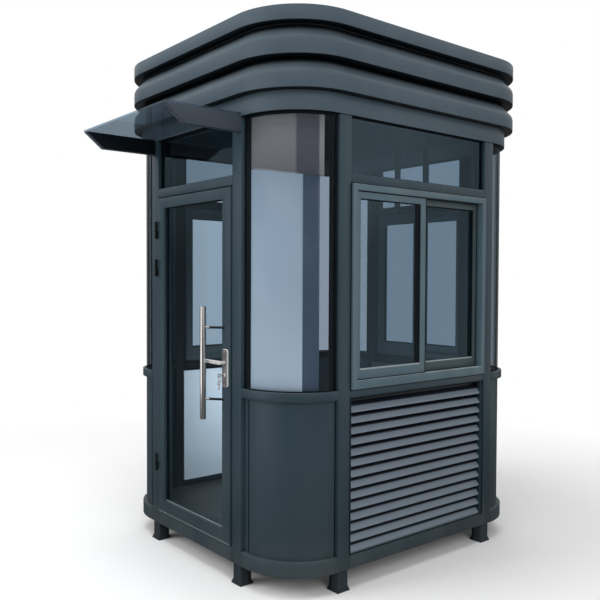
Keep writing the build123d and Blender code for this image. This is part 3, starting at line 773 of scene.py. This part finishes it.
def addScrew(mesh, place):
    made = bmesh.ops.create_cone(
        mesh, cap_ends=True, segments=screw["sides"], radius1=screw["radius"],
        radius2=screw["radius"] * screw["taper"], depth=screw["rise"])["verts"]
    top = max(facesOf(made), key=lambda face: face.calc_center_median().z)
    bmesh.ops.inset_region(mesh, faces=[top], thickness=screw["radius"] * screw["socket"])
    bmesh.ops.translate(mesh, vec=(0, 0, -screw["rise"] * screw["deep"]), verts=list(top.verts))
    verts = list({vert for face in facesOf(made) for vert in face.verts} | set(top.verts))
    bmesh.ops.transform(mesh, matrix=place, verts=verts)


def addHoop(mesh, place, radius, section, corners, steps=28):
    made = bmesh.ops.create_circle(mesh, cap_ends=False, segments=corners, radius=1)["verts"]
    upright = (Matrix.Translation((radius, 0, 0)) @ rotation(90, "X")
               @ Matrix.Diagonal((section[0], section[1], 1, 1)) @ rotation(180 / corners, "Z"))
    bmesh.ops.transform(mesh, matrix=upright, verts=made)
    before = set(mesh.verts) - set(made)
    bmesh.ops.spin(mesh, geom=made + edgesOf(made), cent=(0, 0, 0), axis=(0, 0, 1), steps=steps,
                   angle=math.tau, use_merge=True)
    verts = [vert for vert in mesh.verts if vert not in before]
    bmesh.ops.recalc_face_normals(mesh, faces=facesOf(verts))
    bmesh.ops.transform(mesh, matrix=place, verts=verts)


def addKey(mesh, place, length):  # bow round the origin, shank towards -y
    bowBar = (keyShape["band"], keyShape["thick"] * keyShape["bowThin"])
    addHoop(mesh, place, keyShape["bow"], bowBar, 4)
    shank = place @ Matrix.Translation((0, -keyShape["bow"] - length / 2, 0))
    addBlock(mesh, shank, (keyShape["blade"], length, keyShape["thick"]), keyShape["round"])


for name, (body, slot, spots) in screwSpots.items():
    mesh = bmesh.new()
    for across, level, face in spots:
        addScrew(mesh, wallPlane("front", across, level, face + screw["rise"] / 2))
    keep(name, mesh, body, slot)
mesh = bmesh.new()
bowOut = lock["keyFace"] + keyShape["shank"] + keyShape["bow"]
inLock = wallPlane("front", lock["across"], lock["keyLevel"], bowOut)
addKey(mesh, inLock @ rotation(90, "Z") @ rotation(90, "X"), keyShape["shank"])
drop = keyShape["bow"] + keyShape["ring"] - keyHang["overlap"]  # from a bow to the ring's middle
ringSpot = wallPlane("front", lock["across"], lock["keyLevel"] - drop, bowOut + keyHang["forward"])
addHoop(mesh, ringSpot @ rotation(keyHang["ringTurn"], "Z") @ rotation(keyHang["ringTilt"], "X"),
        keyShape["ring"], (keyShape["wire"], keyShape["wire"]), 8)
hungSpot = wallPlane("front", lock["across"] - keyHang["aside"], lock["keyLevel"] - 2 * drop,
                     bowOut + keyHang["forward"])
addKey(mesh, hungSpot @ rotation(keyHang["keyTurn"], "Y"), keyShape["hung"])
keep("keys", mesh, "door", "polished_steel")
print("fittings made")

# Folded seams of the roof sheet
roofSeam = {"places": (-0.36, 0.0, 0.36), "width": 0.014, "rise": 0.006, "margin": 0.12,
            "sunk": 0.0005, "round": 0.0015}
deckLow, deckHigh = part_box("roof_deck")
seamLength = deckHigh.y - deckLow.y - 2 * roofSeam["margin"]
seamLevel = deckHigh.z + roofSeam["rise"] / 2 - roofSeam["sunk"]
mesh = bmesh.new()
for across in roofSeam["places"]:
    addBlock(mesh, Matrix.Translation((across, cabinY, seamLevel)),
             (roofSeam["width"], seamLength, roofSeam["rise"]), roofSeam["round"])
keep("roofSeams", mesh, "cabin", "roof_sheet")
print("roof seams made")

# Stage: floor, lamps, world and camera
stage = {"floorSize": 4.4, "floorTone": shade(0.86, 0.86, 0.86), "fade": (2.0, 4.2),
         "inGlass": 0.12}
white = shade(1, 1, 1)

ground = bmesh.new()
bmesh.ops.create_circle(ground, cap_ends=True, segments=64, radius=stage["floorSize"])
studioFloor = makeObject("studioFloor", ground)
paving = Finish("studioFloor")
reach = paving.vectorMaths("LENGTH", [paving.place()], output=1)
ray = paving.add("ShaderNodeLightPath", output="Is Camera Ray")
ownLight = paving.add("ShaderNodeEmission", values=[white, 1.0])
matt = paving.add("ShaderNodeBsdfDiffuse", values=[stage["floorTone"]])
faded = paving.between(reach, 0, 1, *stage["fade"])
mirrored = paving.add("ShaderNodeLightPath", output="Is Glossy Ray")
dim = paving.add("ShaderNodeEmission", values=[white, stage["inGlass"]])
plain = paving.add("ShaderNodeMixShader", values=[faded * ray, matt, ownLight])
studioFloor.data.materials.append(paving.show(
    paving.add("ShaderNodeMixShader", values=[mirrored, plain, dim])))

worldLight = {
    "level": 0.45, "seen": 1.0, "lowShine": 0.12, "shineFrom": 0.03, "shineTo": 0.4,
    "softBoxes": {
        "left": {"toward": (-0.26, -0.96, -0.10), "shine": 1.8, "spread": (0.91, 0.97)},
        "right": {"toward": (0.743, 0.669, 0.0), "shine": 0.62, "spread": (0.55, 0.9)},
        "fanlight": {"toward": (0.719, 0.660, 0.219), "shine": 1.15, "spread": (0.970, 0.996)},
    },
}
studio = Finish("studio", world=True)
camera = studio.add("ShaderNodeLightPath", output="Is Camera Ray")
through = studio.add("ShaderNodeLightPath", output="Is Transmission Ray")
glossy = studio.add("ShaderNodeLightPath", output="Is Glossy Ray")
towards = studio.add("ShaderNodeTexCoord", output="Generated")
upper = studio.between(studio.axis("Z", towards), worldLight["lowShine"], worldLight["seen"],
                       worldLight["shineFrom"], worldLight["shineTo"])
for box in worldLight["softBoxes"].values():
    facing = studio.vectorMaths("DOT_PRODUCT", [towards, box["toward"]], output=1)
    shine = studio.between(facing, 0, box["shine"], *box["spread"])
    upper = studio.maths("MAXIMUM", upper, shine)
strength = studio.maths("MAXIMUM", camera, through) * worldLight["seen"] + glossy * upper
strength = studio.maths("MAXIMUM", strength, worldLight["level"] * (1 - glossy))
bpy.context.scene.world = studio.show(studio.add("ShaderNodeBackground", values=[white, strength]))


def hang(name, light, spot):
    holder = bpy.data.objects.new(name, light)
    holder.location = spot
    holder.visible_glossy = holder.visible_camera = False
    bpy.context.scene.collection.objects.link(holder)
    return holder


lamps = {
    "overhead": {"spot": (0.0, -0.5, 6.5), "aim": (0, 0.2, 1.2), "size": 5.0, "power": 260},
    "doorSide": {"spot": (-2.4, -6.0, 4.0), "aim": (0, 0, 1.4), "size": 4.0, "power": 250},
    "windowSide": {"spot": (5.4, -1.9, 3.4), "aim": (0, 0, 1.2), "size": 4.0, "power": 150},
    "rearFill": {"spot": (-4.0, 5.0, 3.0), "aim": (0, 0, 1.3), "size": 4.0, "power": 60},
}
cabinGlow = {"spot": (-0.10, cabinY - 0.10, 0.85), "size": 0.35, "power": 16}
for name, lamp in lamps.items():
    light = bpy.data.lights.new(name, "AREA")
    light.size = lamp["size"]
    light.energy = lamp["power"]
    holder = hang(name, light, lamp["spot"])
    aim = Vector(lamp["aim"]) - holder.location
    holder.rotation_euler = aim.to_track_quat("-Z", "Y").to_euler()
cabinLamp = bpy.data.lights.new("cabinLamp", "POINT")
cabinLamp.energy = cabinGlow["power"]
cabinLamp.shadow_soft_size = cabinGlow["size"]
hang("cabinLamp", cabinLamp, cabinGlow["spot"])

view = {
    "spot": (3.459, cabinY - 3.0597, 1.55), "heading": 51.4216, "pitch": -1.5453, "roll": 0.1933,
    "lens": 43.996, "shift": 0.026, "sensor": 36,
}
eye = bpy.data.objects.new("camera", bpy.data.cameras.new("camera"))
eye.data.sensor_width = view["sensor"]
eye.data.lens = view["lens"]
eye.data.shift_x = view["shift"]
eye.matrix_world = (
    Matrix.Translation(view["spot"]) @ rotation(view["heading"], "Z")
    @ rotation(90 + view["pitch"], "X") @ rotation(view["roll"], "Z"))
bpy.context.scene.collection.objects.link(eye)
bpy.context.scene.camera = eye
bpy.context.scene.view_settings.view_transform = "Standard"
print("stage made")
